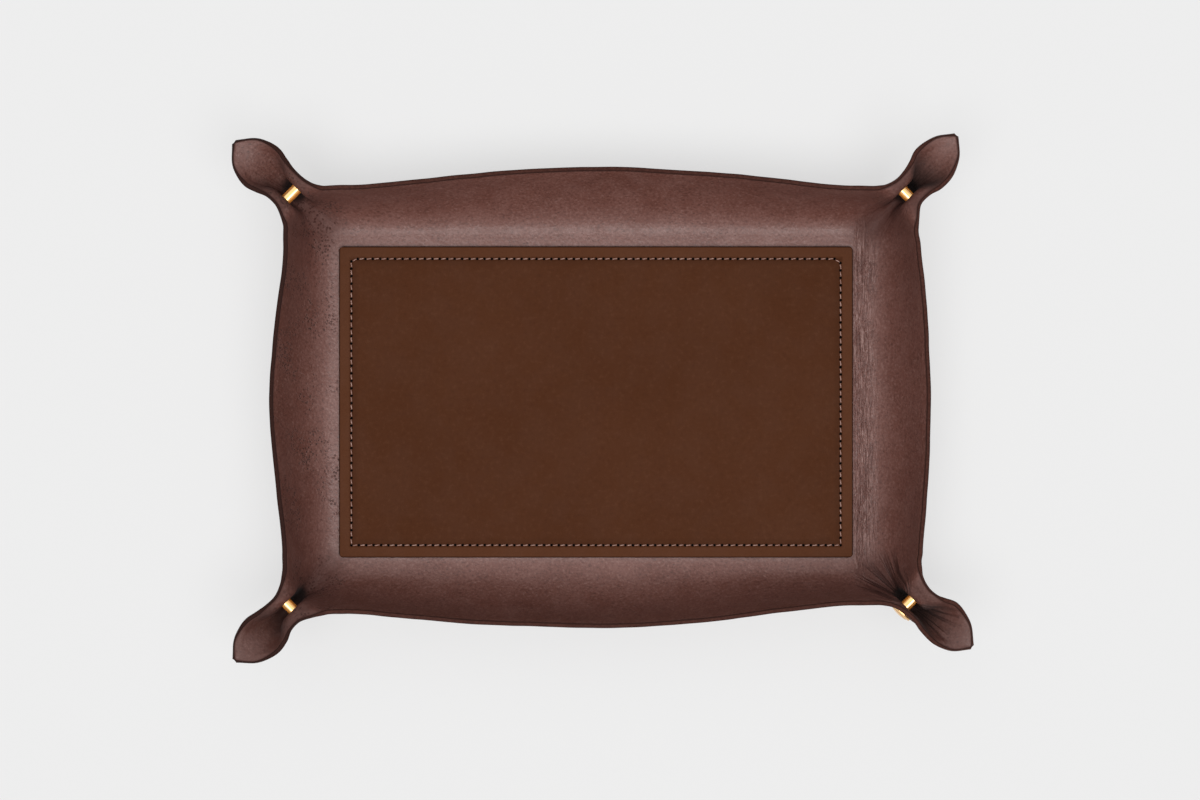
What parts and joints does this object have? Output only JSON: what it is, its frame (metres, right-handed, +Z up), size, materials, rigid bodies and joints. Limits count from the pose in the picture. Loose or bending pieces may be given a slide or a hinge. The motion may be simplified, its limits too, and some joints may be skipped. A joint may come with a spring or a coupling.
{
  "type": "leather tray",
  "caption": "Rectangular leather tray: a thick sheet folded up at its corners by brass binding posts, with a stitched leather panel on its floor.",
  "frame": {"origin": "middle of the outline on the surface that the tray stands on", "axes": "+X along the long sides, +Y toward the back long side, +Z up"},
  "size_m": [0.3574, 0.2551, 0.0469],
  "materials": {
    "sheet_leather": "satin, fine grain",
    "panel_leather": "smooth matte",
    "waxed_thread": "waxed",
    "brass": "polished"
  },
  "bodies": {
    "root": {"tray_sheet": "sheet_leather", "centre_panel": "panel_leather", "needle_thread": "waxed_thread", "bobbin_thread": "waxed_thread"},
    "back_left_post": {"back_left_post": "brass"},
    "back_left_screw": {"back_left_screw": "brass"},
    "back_right_post": {"back_right_post": "brass"},
    "back_right_screw": {"back_right_screw": "brass"},
    "front_left_post": {"front_left_post": "brass"},
    "front_left_screw": {"front_left_screw": "brass"},
    "front_right_post": {"front_right_post": "brass"},
    "front_right_screw": {"front_right_screw": "brass"}
  },
  "joints": [
    {"name": "back_left_post_turn", "type": "hinge", "parent": "root", "child": "back_left_post", "pos_m": [-0.14992, 0.09888, 0.0338], "axis": [0.7071, 0.7071, 0], "range_deg": [0, 6120]},
    {"name": "back_left_screw_travel", "type": "slide", "parent": "root", "child": "back_left_screw", "axis": [-0.7071, -0.7071, 0], "range_m": [0, 0.0119]},
    {"name": "back_right_post_turn", "type": "hinge", "parent": "root", "child": "back_right_post", "pos_m": [0.14866, 0.09906, 0.0338], "axis": [-0.7071, 0.7071, 0], "range_deg": [0, 4680]},
    {"name": "back_right_screw_travel", "type": "slide", "parent": "root", "child": "back_right_screw", "axis": [0.7071, -0.7071, 0], "range_m": [0, 0.0091]},
    {"name": "front_left_post_turn", "type": "hinge", "parent": "root", "child": "front_left_post", "pos_m": [-0.15082, -0.1014, 0.0338], "axis": [0.7071, -0.7071, 0], "range_deg": [0, 4680]},
    {"name": "front_left_screw_travel", "type": "slide", "parent": "root", "child": "front_left_screw", "axis": [-0.7071, 0.7071, 0], "range_m": [0, 0.0091]},
    {"name": "front_right_post_turn", "type": "hinge", "parent": "root", "child": "front_right_post", "pos_m": [0.1501, -0.0996, 0.0338], "axis": [-0.7071, -0.7071, 0], "range_deg": [0, 4680]},
    {"name": "front_right_screw_travel", "type": "slide", "parent": "root", "child": "front_right_screw", "axis": [0.7071, 0.7071, 0], "range_m": [0, 0.0091]}
  ],
  "couplings": [
    {"joint": "back_left_post_turn", "follows": "back_left_screw_travel", "rad_per_m": 8976},
    {"joint": "back_right_post_turn", "follows": "back_right_screw_travel", "rad_per_m": 8976},
    {"joint": "front_left_post_turn", "follows": "front_left_screw_travel", "rad_per_m": 8976},
    {"joint": "front_right_post_turn", "follows": "front_right_screw_travel", "rad_per_m": 8976}
  ]
}
